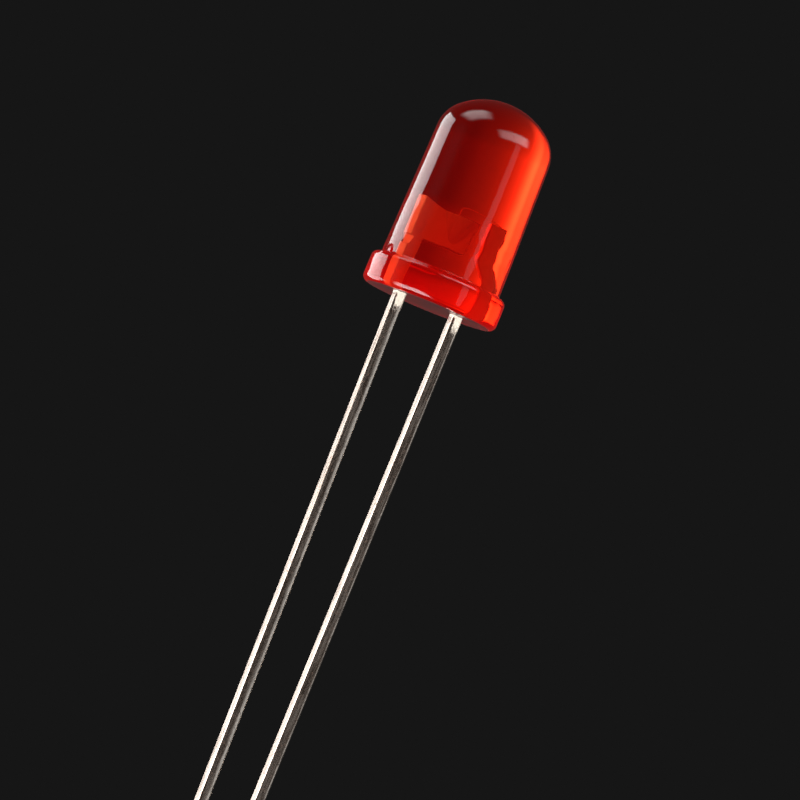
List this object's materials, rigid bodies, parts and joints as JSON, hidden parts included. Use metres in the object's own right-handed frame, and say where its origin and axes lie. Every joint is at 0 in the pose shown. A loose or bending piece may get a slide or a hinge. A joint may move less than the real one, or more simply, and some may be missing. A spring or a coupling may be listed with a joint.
{
  "type": "through-hole led",
  "caption": "Round 5 mm light emitting diode: a domed red epoxy lens with a flange, cast round a stamped lead frame, with two long leads of nearly square section.",
  "frame": {"origin": "centre of the flange's underside, on the plane that seats on a board", "axes": "+Z along the optical axis towards the dome, +X along the row of leads from the anvil's lead to the post's lead"},
  "size_m": [0.0056, 0.0056, 0.0356],
  "materials": {
    "red_epoxy": "cast clear epoxy, tinted red, glossy",
    "tinned_lead": "bright tin plate on stamped steel, sheared edges rough",
    "semiconductor": "sawn semiconductor crystal",
    "silver_glue": "cured silver-filled epoxy, matt",
    "gold_wire": "drawn gold wire"
  },
  "bodies": {
    "root": {"lens": "red_epoxy", "anvil_lead": "tinned_lead", "post_lead": "tinned_lead", "die": "semiconductor", "die_attach": "silver_glue", "bond_wire": "gold_wire"}
  },
  "joints": []
}
